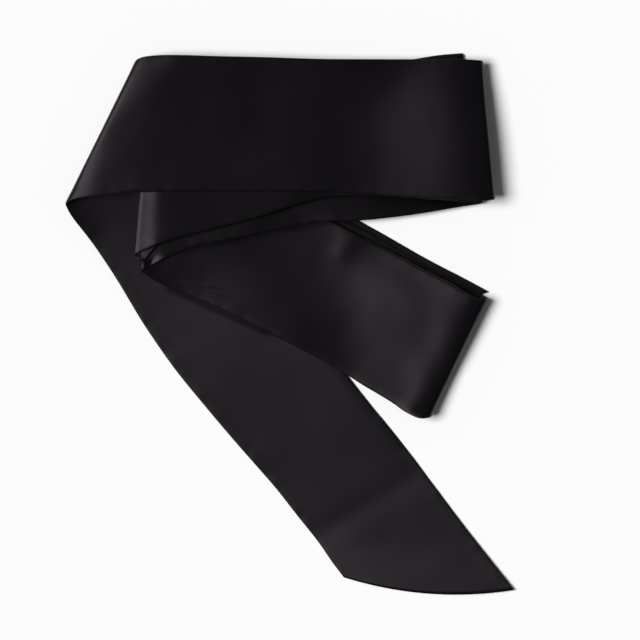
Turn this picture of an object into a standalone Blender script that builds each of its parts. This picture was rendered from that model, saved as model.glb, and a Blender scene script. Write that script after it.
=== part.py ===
"""A long narrow silk scarf, folded to and fro and lying on a flat surface.

The scarf is one strip of satin, two panels sewn along their edges and turned. From its tip on the surface it
runs up to the left, wraps round the slanted fold, crosses to the right on top of everything, and then goes to
and fro underneath. Each stretch is a wall that rests on whatever lies below it, and each fold is a rounded
turn between two stretches. Sizes are in millimetres until the mesh is made.
"""

import math

import bpy
import numpy as np

# Driving dimensions of the cloth.
MILLIMETRE = 0.001
WALL = 1.0
LAYER_GAP = 0.4
SEAM_GAP = 0.3
RIM_EASE = 0.25
RIM_ANGLE = 50.0

# The turn of a fold: how far back its lip reaches along the lower stretch, how many steps it turns in, and
# between which shares of its turn its outline passes from the one stretch to the other. The slope that it
# carries on from each stretch is taken over a short step.
FOLD_LIP = 4.5
FOLD_STEPS = 8
TURN_START = 0.3
TURN_END = 0.7
SLOPE_STEP = 1.0

# How stiffly the cloth bridges an edge below it, and over how wide a band that bend is eased.
DRAPE_RADIUS = 80.0
DRAPE_REACH = 44
EASE_CELLS = 4
EASE_PASSES = 2

# The mesh: one row of points every so often along a stretch, and so many divisions across it.
ROW_SPACING = 6.5
DIVISIONS_ACROSS = 10

# The field of heights that the stretches are laid on, one cell for each millimetre.
FIELD_LOW = (-140.0, -160.0)
FIELD_CELLS = (280, 320)
PRINT_FINENESS = 12

# Each fold joins two stretches at its outer line, which runs from the strip's first edge to its second.
# The first edge is the tail's left edge, which stays the lower edge of every stretch after it.
# "reach" is how far the turn stands out, and "roundness" is 1 for an ellipse and less for a squarer turn.
FOLD_COLUMNS = ("before", "after", "first_x", "first_y", "second_x", "second_y", "reach", "roundness")
FOLDS = (
    ("tail", "top", -116.5, 63.0, -79.0, 136.5, 4.5, 0.5),
    ("top", "third", 106.0, 65.5, 99.4, 136.8, 3.0, 0.6),
    ("third", "fourth", -81.0, 36.0, -75.0, 105.5, 3.0, 0.7),
    ("fourth", "fifth", 100.5, 63.0, 89.0, 141.0, 3.0, 0.6),
    ("fifth", "sixth", -77.0, 27.0, -66.0, 96.5, 3.0, 0.7),
    ("sixth", "seventh", 73.0, -47.0, 103.0, 13.5, 4.0, 0.6),
    ("seventh", "eighth", -44.0, 17.0, -18.0, 77.0, 2.0, 1.0),
)

# Sections across each stretch between its folds, in the order of the strip from the tip of the tail.
# "bow" is how far the middle of a section stands out towards the tip.
SECTION_COLUMNS = ("first_x", "first_y", "second_x", "second_y", "bow")
STRETCHES = {
    "tail": (
        (28.0, -131.5, 116.5, -138.0, 5.2),
        (23.0, -125.0, 109.0, -128.5, 4.2),
        (15.0, -113.5, 93.0, -108.0, 1.8),
        (3.5, -99.0, 75.0, -84.0, 0.5),
        (-7.5, -85.0, 57.0, -60.0, 0.0),
        (-17.5, -73.5, 40.5, -40.0, 0.0),
        (-28.5, -61.0, 23.5, -18.5, 0.0),
        (-45.0, -41.5, 5.0, 1.5, 0.0),
        (-60.0, -23.0, -7.0, 17.0, 0.0),
        (-74.0, -3.0, -17.5, 32.5, 0.0),
        (-92.0, 26.5, -34.5, 60.5, 0.0),
        (-101.0, 40.0, -42.5, 74.5, 0.0),
        (-107.0, 48.0, -55.0, 96.0, 0.0),
        (-111.5, 54.5, -66.0, 113.5, 0.0),
        (-114.5, 59.0, -73.5, 127.5, 0.0),
    ),
    "top": (
        (-112.5, 65.5, -77.0, 138.0, 0.0),
        (-106.5, 66.5, -73.0, 139.0, 0.0),
        (-99.5, 67.0, -68.0, 139.5, 0.0),
        (-82.5, 69.0, -55.5, 139.5, 0.0),
        (-56.5, 69.5, -38.5, 139.0, 0.0),
        (-20.5, 69.5, -14.5, 138.5, 0.0),
        (21.0, 69.5, 21.0, 137.5, 0.0),
        (41.5, 68.0, 40.0, 137.5, 0.0),
        (62.0, 66.0, 60.0, 137.5, 0.0),
        (80.0, 64.5, 76.5, 137.5, 0.0),
        (92.0, 64.5, 86.5, 137.6, 0.0),
        (101.5, 64.5, 94.8, 137.2, 0.0),
    ),
    "third": (
        (98.0, 65.0, 92.0, 135.0, 0.0),
        (72.5, 65.0, 67.5, 134.0, 0.0),
        (41.5, 66.5, 36.5, 132.5, 0.0),
        (26.0, 66.5, 20.0, 130.5, 0.0),
        (5.0, 59.5, -6.0, 125.0, 0.0),
        (-15.5, 53.0, -28.5, 118.5, 0.0),
        (-41.0, 48.0, -50.5, 114.0, 0.0),
        (-66.5, 43.0, -65.5, 109.5, 0.0),
    ),
    "fourth": (
        (-68.0, 43.5, -63.0, 110.0, 0.0),
        (-31.0, 51.0, -30.0, 118.5, 0.0),
        (5.0, 61.0, 4.0, 125.5, 0.0),
        (28.5, 66.5, 31.0, 131.0, 0.0),
        (72.5, 65.0, 65.0, 138.0, 0.0),
        (89.0, 63.5, 77.5, 140.0, 0.0),
    ),
    "fifth": (
        (85.0, 60.5, 74.0, 134.0, 0.0),
        (70.5, 58.0, 58.5, 127.5, 0.0),
        (37.0, 54.0, 26.0, 123.5, 0.0),
        (14.5, 53.0, 5.0, 121.0, 0.0),
        (-2.0, 50.0, -13.0, 117.5, 0.0),
        (-31.0, 44.0, -39.5, 111.0, 0.0),
        (-52.0, 39.5, -55.5, 106.5, 0.0),
        (-67.5, 33.0, -63.0, 100.5, 0.0),
    ),
    "sixth": (
        (-65.5, 21.5, -39.0, 84.0, 0.0),
        (-47.5, 12.5, -20.5, 76.5, 0.0),
        (-30.0, 5.0, 0.0, 66.5, 0.0),
        (-5.5, -7.0, 27.0, 51.0, 0.0),
        (9.0, -14.5, 41.5, 43.5, 0.0),
        (24.5, -23.0, 56.0, 36.0, 0.0),
        (38.0, -31.5, 70.5, 28.0, 0.0),
        (53.0, -40.5, 84.0, 21.0, 0.0),
        (61.0, -46.0, 92.5, 16.0, 0.0),
        (68.0, -48.5, 98.5, 13.5, 0.0),
    ),
    "seventh": (
        (65.0, -45.5, 95.5, 18.0, 0.0),
        (38.0, -29.0, 70.5, 31.0, 0.0),
        (9.0, -12.0, 41.5, 48.0, 0.0),
        (-21.0, 4.0, 10.5, 63.0, 0.0),
    ),
    "eighth": (
        (-30.0, 9.0, 13.5, 65.5, 0.0),
        (-16.0, 1.5, 44.0, 49.5, 0.0),
        (-2.0, -6.5, 74.0, 32.5, 0.0),
        (6.0, -11.0, 91.5, 23.5, 0.0),
        (12.0, -14.5, 103.5, 17.0, 0.0),
    ),
}

# How far each stretch is held off its bed by the spring of its folds and by its own soft waves. The first
# column is the distance along it. The others are the lifts at named places, each so far across the strip.
LIFT_COLUMNS = {"first_edge": 0.0, "quarter": 0.25, "middle": 0.5, "three_quarters": 0.75, "second_edge": 1.0}
LIFTS = {
    "tail": (
        (0, 0.0, 0.0, 0.0, 0.0, 0.0),
        (215, 0.0, 0.0, 0.0, 0.0, 0.0),
        (235, 0.2, 0.1, 0.0, 0.0, 0.0),
        (250, 0.8, 0.6, 0.2, 0.0, 0.0),
        (262, 1.6, 1.3, 0.7, 0.2, 0.0),
        (272, 2.4, 2.2, 1.7, 1.0, 0.6),
        (284, 3.3, 3.2, 2.8, 2.4, 2.0),
    ),
    "top": (
        (0, 4.6, 2.9, 1.3, 0.2, 0.0),
        (8, 3.8, 2.5, 1.2, 0.7, 0.7),
        (16, 2.3, 1.4, 0.8, 0.7, 1.5),
        (24, 1.2, 0.6, 0.5, 0.6, 1.9),
        (32, 0.4, 0.3, 0.4, 0.5, 1.8),
        (64, 0.3, 0.3, 0.6, 0.7, 1.4),
        (96, 0.6, 1.0, 1.3, 1.2, 1.1),
        (137, 1.3, 1.3, 1.3, 1.3, 1.2),
        (152, 1.8, 1.8, 1.8, 1.9, 2.0),
        (168, 2.7, 2.7, 2.8, 3.0, 3.2),
        (184, 3.3, 3.3, 3.6, 4.0, 4.2),
        (201, 2.7, 2.7, 3.1, 3.5, 3.7),
    ),
    "third": (
        (0, 0.3, 0.3, 0.3, 0.3, 0.3),
        (30, 0.4, 0.4, 0.4, 0.4, 0.4),
        (60, 0.0, 0.0, 0.0, 0.0, 0.0),
        (110, 0.7, 0.5, 0.4, 0.3, 0.2),
        (145, 1.1, 0.9, 0.9, 0.8, 0.8),
        (172, 1.6, 1.5, 1.5, 1.4, 1.4),
        (182, 0.1, 0.2, 0.2, 0.2, 0.2),
    ),
    "fourth": (
        (0, 0.0, 0.0, 0.0, 0.0, 0.0),
        (130, 0.0, 0.0, 0.0, 0.0, 0.0),
        (165, 0.3, 0.3, 0.3, 0.3, 0.3),
    ),
    "fifth": (
        (0, 0.1, 0.1, 0.1, 0.1, 0.1),
        (30, 0.0, 0.0, 0.0, 0.0, 0.0),
        (130, 0.0, 0.0, 0.0, 0.0, 0.0),
        (161, 0.4, 0.3, 0.2, 0.2, 0.2),
        (171, 0.0, 0.1, 0.1, 0.2, 0.2),
    ),
    "sixth": (
        (0, 3.4, 2.9, 2.6, 2.6, 2.6),
        (16, 2.3, 2.0, 1.9, 2.0, 2.1),
        (32, 0.5, 0.4, 0.2, 0.2, 0.2),
        (60, 1.3, 1.5, 0.9, 0.3, 0.2),
        (80, 1.3, 1.2, 0.3, 0.0, 0.1),
        (100, 0.7, 0.5, 0.1, 0.7, 0.9),
        (119, 0.1, 0.0, 0.6, 1.5, 2.0),
        (137, 0.5, 0.8, 1.4, 2.3, 2.8),
        (155, 2.1, 2.4, 3.2, 3.7, 3.8),
        (166, 3.6, 3.8, 4.4, 4.5, 4.6),
        (176, 2.6, 2.9, 3.0, 2.9, 3.0),
    ),
    "seventh": (
        (0, 0.3, 0.3, 0.3, 0.3, 0.3),
        (20, 0.5, 0.5, 0.5, 0.5, 0.5),
        (60, 0.2, 0.2, 0.2, 0.2, 0.2),
        (90, 0.0, 0.0, 0.0, 0.0, 0.0),
    ),
    "eighth": (
        (0, 0.0, 0.0, 0.0, 0.0, 0.0),
        (140, 0.0, 0.0, 0.0, 0.0, 0.0),
    ),
}

# The stretches from the surface up, which is the order in which they are laid.
LAID_ORDER = ("tail", "eighth", "seventh", "sixth", "fifth", "fourth", "third", "top")

# Each named sub-part and its stretch. The two hidden stretches at the bottom share one more, "lower_core".
SUBPARTS = {
    "tail": "tail",
    "lower_band": "sixth",
    "middle_run": "fifth",
    "upper_core": "fourth",
    "upper_run": "third",
    "top_band": "top",
}

# The satin: linear colour, roughness and sheen of black silk.
SATIN_COLOUR = (0.012, 0.011, 0.013, 1.0)
SATIN_ROUGHNESS = 0.42
SATIN_SHEEN = 0.2


def fold_rows():
    """The table of folds as dictionaries."""
    return [dict(zip(FOLD_COLUMNS, values)) for values in FOLDS]


def fold_with(column, name):
    """The fold whose stretch before or after it is this one, or None."""
    return next((fold for fold in fold_rows() if fold[column] == name), None)


def depth_of(fold):
    """How far back from its outer line a fold's turn begins."""
    return WALL / 2 + fold["reach"]


def sections_of(name):
    """The sections of a stretch from fold to fold, as an array with named columns."""
    rows = list(STRETCHES[name])
    for fold in fold_rows():
        line = (fold["first_x"], fold["first_y"], fold["second_x"], fold["second_y"], 0.0)
        if fold["after"] == name:
            rows.insert(0, line)
        if fold["before"] == name:
            rows.append(line)
    return np.array(rows, dtype=[(column, float) for column in SECTION_COLUMNS])


def is_above(upper, lower):
    """Whether the first of two stretches lies above the second."""
    return LAID_ORDER.index(upper) > LAID_ORDER.index(lower)


def curve_through(stops, values, at):
    """Values along a smooth curve through the given values at the given stops."""
    slopes = np.gradient(values, stops, axis=0)
    left = np.clip(np.searchsorted(stops, at, side="right") - 1, 0, len(stops) - 2)
    step = (stops[left + 1] - stops[left])[:, None]
    part = (at - stops[left])[:, None] / step
    start_weight = (1 + 2 * part) * (1 - part) ** 2
    end_weight = part**2 * (3 - 2 * part)
    leave_weight = part * (1 - part) ** 2 * step
    arrive_weight = part**2 * (part - 1) * step
    return (
        start_weight * values[left]
        + end_weight * values[left + 1]
        + leave_weight * slopes[left]
        + arrive_weight * slopes[left + 1]
    )


class Stretch:
    """A stretch of the strip between two folds: its outline from above, and its bed once it is laid."""

    def __init__(self, name):
        sections = sections_of(name)
        first = np.stack([sections["first_x"], sections["first_y"]], axis=1)
        second = np.stack([sections["second_x"], sections["second_y"]], axis=1)
        self.values = np.column_stack([first, second, sections["bow"]])
        steps = np.linalg.norm(np.diff((first + second) / 2, axis=0), axis=1)
        self.stops = np.concatenate([[0.0], np.cumsum(steps)])
        self.length = self.stops[-1]
        self.lifts = np.array(LIFTS[name], float)
        self.across = np.linspace(0.0, 1.0, DIVISIONS_ACROSS + 1)
        self.bed = None

    def outline(self, distances):
        """Plan points of the rows at these distances along the stretch."""
        values = curve_through(self.stops, self.values, np.asarray(distances, float))
        first, second, bow = np.split(values[:, None, :], [2, 4], axis=2)
        across = self.across[None, :, None]
        chord = second - first
        sideways = np.concatenate([chord[..., 1:], -chord[..., :1]], axis=2)
        sideways /= np.linalg.norm(chord, axis=2, keepdims=True)
        return first + across * chord + 4 * across * (1 - across) * bow * sideways

    def lift(self, distances):
        """How far the rows at these distances are held off the bed."""
        stops = self.lifts[:, 0]
        along = curve_through(stops, self.lifts[:, 1:], np.minimum(distances, stops[-1]))
        places = np.array(list(LIFT_COLUMNS.values()))
        return np.maximum(curve_through(places, along.T, self.across).T, 0.0)

    def rows(self, distances):
        """Rows of points along the middle of the wall, as the stretch lies on its bed."""
        plan = self.outline(distances)
        height = read_field(self.bed, plan) + LAYER_GAP + WALL / 2 + self.lift(distances)
        return np.concatenate([plan, height[..., None]], axis=2)


def empty_field():
    """The bare surface. It lies one gap low, so that cloth laid straight on it touches the surface itself."""
    return np.full(FIELD_CELLS, -LAYER_GAP)


def read_field(field, plan):
    """Heights of the field at plan points, blended between the four nearest cells."""
    place = plan - np.array(FIELD_LOW)
    cell = np.floor(place).astype(int)
    part = place - cell
    i, j = cell[..., 0], cell[..., 1]
    u, v = part[..., 0], part[..., 1]
    near = (1 - u) * field[i, j] + u * field[i + 1, j]
    far = (1 - u) * field[i, j + 1] + u * field[i + 1, j + 1]
    return (1 - v) * near + v * far


def dense(rows):
    """A dense cloud of points on the facets between rows of points."""
    for axis, shape in ((0, (-1, 1, 1)), (1, (1, -1, 1))):
        count = rows.shape[axis]
        at = np.linspace(0, count - 1, (count - 1) * PRINT_FINENESS + 1)
        left = np.minimum(at.astype(int), count - 2)
        part = (at - left).reshape(shape)
        rows = (1 - part) * np.take(rows, left, axis) + part * np.take(rows, left + 1, axis)
    return rows.reshape(-1, 3)


def print_on(field, rows):
    """Raises the field to the top of a wall whose middle runs through these rows of points."""
    cloud = dense(rows)
    cell = np.round(cloud[:, :2] - np.array(FIELD_LOW)).astype(int)
    np.maximum.at(field, (cell[:, 0], cell[:, 1]), cloud[:, 2] + WALL / 2)


def widened(field, reach, stiffness):
    """The highest of each cell and its neighbours, which fall away with the square of their distance."""
    for axis in (0, 1):
        raised = field
        for shift in range(1, reach + 1):
            lowered = field - stiffness * shift**2
            raised = np.maximum(raised, np.roll(lowered, shift, axis))
            raised = np.maximum(raised, np.roll(lowered, -shift, axis))
        field = raised
    return field


def blurred(field, reach):
    """The mean over a square of cells."""
    for axis in (0, 1):
        total = sum(np.roll(field, shift, axis) for shift in range(-reach, reach + 1))
        field = total / (2 * reach + 1)
    return field


def bed_over(field):
    """The lowest surface that cloth of the drape radius can take over what the field holds."""
    bed = widened(field, DRAPE_REACH, 0.5 / DRAPE_RADIUS)
    bed = widened(bed, EASE_CELLS * EASE_PASSES, 0.0)
    for _ in range(EASE_PASSES):
        bed = blurred(bed, EASE_CELLS)
    return bed


def turn_rows(before, after, fold):
    """Rows of points round a fold, without the two rows that it joins, level with the stretches at both ends."""
    depth = depth_of(fold)
    near = before.rows([before.length - depth - SLOPE_STEP, before.length - depth])[..., 2]
    far = after.rows([depth, depth + SLOPE_STEP])[..., 2]
    start_slope = (near[1] - near[0]) / SLOPE_STEP
    end_slope = (far[1] - far[0]) / SLOPE_STEP
    rows = []
    for angle in np.linspace(0.0, math.pi, FOLD_STEPS + 1)[1:-1]:
        out = fold["reach"] * math.sin(angle) ** fold["roundness"]
        inset = depth - out
        turned = np.clip((angle / math.pi - TURN_START) / (TURN_END - TURN_START), 0.0, 1.0)
        turned = turned**2 * (3 - 2 * turned)
        plan = (1 - turned) * before.outline([before.length - inset])[0]
        plan = plan + turned * after.outline([inset])[0]
        share = (1 + math.cos(angle)) / 2
        height = share * near[1] + (1 - share) * far[0]
        height = height + out * (start_slope * share**2 - end_slope * (1 - share) ** 2)
        rows.append(np.column_stack([plan, height]))
    return np.array(rows)


def spaced(low, high):
    """Distances from low to high, about one row spacing apart."""
    count = max(1, round((high - low) / ROW_SPACING))
    return np.linspace(low, high, count + 1)


def lay_the_strip():
    """Every stretch with its bed, laid one on the other from the surface up."""
    stretches = {name: Stretch(name) for name in STRETCHES}
    field = empty_field()
    for name in LAID_ORDER:
        stretch = stretches[name]
        stretch.bed = bed_over(field)
        came = fold_with("after", name)
        goes = fold_with("before", name)
        low = depth_of(came) if came else 0.0
        high = stretch.length - (depth_of(goes) if goes else 0.0)
        print_on(field, stretch.rows(spaced(low, high)))
        if came and is_above(name, came["before"]):
            print_on(field, turn_rows(stretches[came["before"]], stretch, came))
        if goes and is_above(name, goes["after"]):
            print_on(field, turn_rows(stretch, stretches[goes["after"]], goes))
    return stretches


def cloth_rows(name, stretches):
    """One stretch and the turns that lead down from it, each with its lip on the stretch below."""
    stretch = stretches[name]
    came = fold_with("after", name)
    goes = fold_with("before", name)
    rows = []
    low = depth_of(came) if came else 0.0
    high = stretch.length - (depth_of(goes) if goes else 0.0)
    if came and is_above(name, came["before"]):
        below = stretches[came["before"]]
        edge = below.length - low
        rows.append(below.rows([edge - FOLD_LIP, edge]))
        rows.append(turn_rows(below, stretch, came))
    elif came:
        low += FOLD_LIP + SEAM_GAP
    leads_down = goes and is_above(name, goes["after"])
    if goes and not leads_down:
        high -= FOLD_LIP + SEAM_GAP
    rows.append(stretch.rows(spaced(low, high)))
    if leads_down:
        below = stretches[goes["after"]]
        edge = depth_of(goes)
        rows.append(turn_rows(stretch, below, goes))
        rows.append(below.rows([edge, edge + FOLD_LIP]))
    return np.concatenate(rows)


def hidden_pair_rows(upper, lower, stretches):
    """Two hidden stretches and the turn between them as one folded wall, layered at its edges."""
    rows = cloth_rows(upper, stretches)
    start = depth_of(fold_with("before", upper)) + FOLD_LIP
    rest = stretches[lower].rows(spaced(start, stretches[lower].length))
    return np.concatenate([rows, rest[1:]])


def satin_material(name):
    """Black silk satin, with its colour, roughness and a little sheen."""
    material = bpy.data.materials.new(name)
    material.use_nodes = True
    shader = material.node_tree.nodes["Principled BSDF"]
    shader.inputs["Base Color"].default_value = SATIN_COLOUR
    shader.inputs["Roughness"].default_value = SATIN_ROUGHNESS
    shader.inputs["Metallic"].default_value = 0.0
    shader.inputs["Sheen Weight"].default_value = SATIN_SHEEN
    return material


def add_cloth(name, rows, collection):
    """A wall of cloth whose middle runs through the rows of points: a sheet, made solid, its rim eased."""
    count, width = rows.shape[:2]
    faces = [
        (i * width + j, i * width + j + 1, (i + 1) * width + j + 1, (i + 1) * width + j)
        for i in range(count - 1)
        for j in range(width - 1)
    ]
    mesh = bpy.data.meshes.new(name)
    mesh.from_pydata((rows * MILLIMETRE).reshape(-1, 3).tolist(), [], faces)
    mesh.shade_smooth()
    mesh.materials.append(satin_material(name + "_satin"))
    cloth = bpy.data.objects.new(name, mesh)
    collection.objects.link(cloth)
    wall = cloth.modifiers.new("wall", "SOLIDIFY")
    wall.thickness = WALL * MILLIMETRE
    wall.offset = 0.0
    wall.use_even_offset = True
    rim = cloth.modifiers.new("rim", "BEVEL")
    rim.width = RIM_EASE * MILLIMETRE
    rim.segments = 1
    rim.limit_method = "ANGLE"
    rim.angle_limit = math.radians(RIM_ANGLE)


def clear_scene():
    """Removes whatever the scene holds."""
    for thing in list(bpy.data.objects):
        bpy.data.objects.remove(thing, do_unlink=True)


def build():
    """The whole scarf, one object for each sub-part."""
    clear_scene()
    collection = bpy.data.collections.new("silk_scarf")
    bpy.context.scene.collection.children.link(collection)
    stretches = lay_the_strip()
    for name, stretch in SUBPARTS.items():
        add_cloth(name, cloth_rows(stretch, stretches), collection)
    add_cloth("lower_core", hidden_pair_rows("seventh", "eighth", stretches), collection)


build()
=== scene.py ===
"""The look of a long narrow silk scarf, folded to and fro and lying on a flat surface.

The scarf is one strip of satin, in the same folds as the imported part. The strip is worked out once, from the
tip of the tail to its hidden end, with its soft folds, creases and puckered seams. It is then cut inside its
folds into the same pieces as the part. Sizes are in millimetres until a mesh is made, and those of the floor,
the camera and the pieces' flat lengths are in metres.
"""

import math

import bpy
import numpy as np
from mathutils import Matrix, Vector


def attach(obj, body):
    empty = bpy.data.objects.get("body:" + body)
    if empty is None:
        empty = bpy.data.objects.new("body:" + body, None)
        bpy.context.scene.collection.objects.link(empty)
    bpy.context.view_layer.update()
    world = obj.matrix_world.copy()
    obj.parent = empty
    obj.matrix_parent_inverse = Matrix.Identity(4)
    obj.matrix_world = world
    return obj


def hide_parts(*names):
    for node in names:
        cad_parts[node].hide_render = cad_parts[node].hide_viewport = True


MILLIMETRE = 0.001

# The wall of each layer and the gap between layers, as on the part.
WALL = 1.0
LAYER_GAP = 0.4

# How far from a turn the strip is cut, on the lower of the two stretches that the fold joins.
FOLD_LIP = 4.5

# What has been laid so far is kept as a field of heights, in cells of one millimetre from its low corner.
FIELD_LOW = (-140.0, -160.0)
FIELD_CELLS = (280, 320)

# How a layer is printed on the field: the distance between its rows, its columns, the steps round a fold, and
# into how many parts each facet between them is divided.
PRINT_SPACING = 3.0
PRINT_COLUMNS = 25
PRINT_FOLD_STEPS = 6
PRINT_FINENESS = 6

# How cloth drapes over the field: the smallest radius that it bends to, how many cells away a high point
# still holds it up, and over how many cells, and how often, its bed is then smoothed.
DRAPE_RADIUS = 80.0
DRAPE_REACH = 44
EASE_CELLS = 4
EASE_PASSES = 2

# The stretches in their order along the strip, from the tip of the tail, and in the order of laying them.
STRIP_ORDER = ("tail", "top", "third", "fourth", "fifth", "sixth", "seventh", "eighth")
LAID_ORDER = ("tail", "eighth", "seventh", "sixth", "fifth", "fourth", "third", "top")

# The folds, close to the part's: the outer line from the strip's first edge to its second, how far the turn
# stands out, its roundness, which is 1 for an ellipse and less for a squarer turn, and how far its middle
# bows out to the right of its line.
FOLD_COLUMNS = (
    "before", "after", "first_x", "first_y", "second_x", "second_y", "reach", "roundness", "bow",
)
FOLDS = (
    ("tail", "top", -116.5, 62.4, -80.0, 136.7, 4.5, 0.5, 0.0),
    ("top", "third", 106.5, 64.7, 100.3, 136.8, 3.0, 0.6, 0.0),
    ("third", "fourth", -81.0, 36.0, -75.0, 105.5, 3.0, 0.7, 0.0),
    ("fourth", "fifth", 100.5, 63.0, 89.9, 141.0, 3.0, 0.6, 0.0),
    ("fifth", "sixth", -77.5, 27.0, -66.0, 96.5, 3.0, 0.7, -3.6),
    ("sixth", "seventh", 73.5, -48.0, 103.0, 13.5, 4.0, 0.6, 0.0),
    ("seventh", "eighth", -44.0, 17.0, -18.0, 77.0, 2.0, 1.0, 0.0),
)

# The sections across each stretch between its folds, close to the part's.
SECTION_COLUMNS = ("first_x", "first_y", "second_x", "second_y", "bow")
STRETCHES = {
    "tail": (
        (28.0, -131.5, 116.5, -138.0, 5.2),
        (23.0, -125.0, 109.0, -128.5, 4.2),
        (15.0, -113.5, 93.0, -108.0, 1.8),
        (3.5, -99.0, 75.0, -84.0, 0.5),
        (-7.5, -85.0, 57.0, -60.0, 0.0),
        (-17.5, -73.5, 40.5, -40.0, 0.0),
        (-28.5, -61.0, 23.5, -18.5, 0.0),
        (-45.0, -41.5, 5.0, 1.5, 0.0),
        (-60.0, -23.0, -7.0, 17.0, 0.0),
        (-74.0, -3.0, -17.5, 32.5, 0.0),
        (-92.0, 26.5, -34.5, 60.5, 0.0),
        (-101.0, 40.0, -42.5, 74.5, 0.0),
        (-107.0, 48.0, -55.0, 96.0, 0.0),
        (-112.1, 54.5, -66.0, 113.5, 0.0),
        (-114.9, 58.8, -74.0, 127.5, 0.0),
    ),
    "top": (
        (-112.5, 64.6, -77.6, 138.2, 0.0),
        (-106.5, 65.9, -73.3, 139.1, 0.0),
        (-99.5, 66.7, -68.0, 139.5, 0.0),
        (-82.5, 68.4, -55.5, 139.5, 0.0),
        (-56.5, 68.8, -38.5, 139.0, 0.0),
        (-20.5, 68.8, -14.5, 138.5, 0.0),
        (21.0, 68.8, 21.0, 137.5, 0.0),
        (41.5, 67.4, 40.0, 137.5, 0.0),
        (62.0, 65.6, 60.0, 137.5, 0.0),
        (80.0, 64.5, 76.5, 137.5, 0.0),
        (92.0, 64.3, 86.7, 137.6, 0.0),
        (101.5, 64.1, 95.3, 137.2, 0.0),
    ),
    "third": (
        (98.0, 65.0, 92.0, 135.0, 0.0),
        (72.5, 65.0, 67.5, 134.0, 0.0),
        (41.5, 66.5, 36.5, 132.5, 0.0),
        (26.0, 66.5, 20.0, 130.5, 0.0),
        (5.0, 62.6, -6.0, 127.5, 0.0),
        (-15.5, 56.0, -28.5, 121.0, 0.0),
        (-41.0, 49.2, -50.5, 114.8, 0.0),
        (-66.5, 42.4, -65.5, 109.5, 0.0),
    ),
    "fourth": (
        (-77.0, 32.0, -70.5, 107.5, 0.0),
        (-70.5, 39.5, -64.5, 109.5, 0.0),
        (-60.0, 47.0, -56.0, 112.0, 0.0),
        (-31.0, 54.0, -30.0, 119.0, 0.0),
        (5.0, 64.8, 4.0, 128.0, 0.0),
        (28.5, 68.0, 31.0, 132.0, 0.0),
        (72.5, 65.0, 65.0, 138.0, 0.0),
        (89.0, 63.5, 77.5, 140.0, 0.0),
    ),
    "fifth": (
        (85.0, 60.5, 74.0, 134.0, 0.0),
        (70.5, 58.0, 58.5, 127.5, 0.0),
        (37.0, 54.0, 26.0, 123.5, 0.0),
        (14.5, 53.0, 5.0, 121.0, 0.0),
        (-2.0, 50.0, -13.0, 117.5, 0.0),
        (-31.0, 44.0, -39.5, 111.0, 0.0),
        (-52.0, 39.5, -55.5, 106.5, 0.0),
        (-67.5, 33.0, -63.0, 100.5, 0.0),
    ),
    "sixth": (
        (-65.5, 20.2, -39.0, 84.0, 0.0),
        (-47.5, 12.8, -20.5, 76.5, 0.0),
        (-30.0, 5.0, 0.0, 66.5, 0.0),
        (-5.5, -7.0, 27.0, 51.0, 0.0),
        (9.0, -14.5, 41.5, 43.5, 0.0),
        (24.5, -23.0, 56.0, 36.0, 0.0),
        (38.0, -31.5, 70.5, 28.0, 0.0),
        (53.0, -40.5, 84.0, 21.0, 0.0),
        (61.0, -46.0, 92.5, 16.0, 0.0),
        (68.0, -48.8, 98.5, 13.5, 0.0),
    ),
    "seventh": (
        (65.0, -45.5, 95.5, 18.0, 0.0),
        (38.0, -29.0, 70.5, 31.0, 0.0),
        (9.0, -12.0, 41.5, 48.0, 0.0),
        (-21.0, 4.0, 10.5, 63.0, 0.0),
    ),
    "eighth": (
        (-30.0, 9.0, 13.5, 65.5, 0.0),
        (-16.0, 1.5, 44.0, 49.5, 0.0),
        (-2.0, -6.5, 74.0, 32.5, 0.0),
        (6.0, -11.0, 91.5, 23.5, 0.0),
        (12.0, -14.5, 103.5, 17.0, 0.0),
    ),
}

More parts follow.
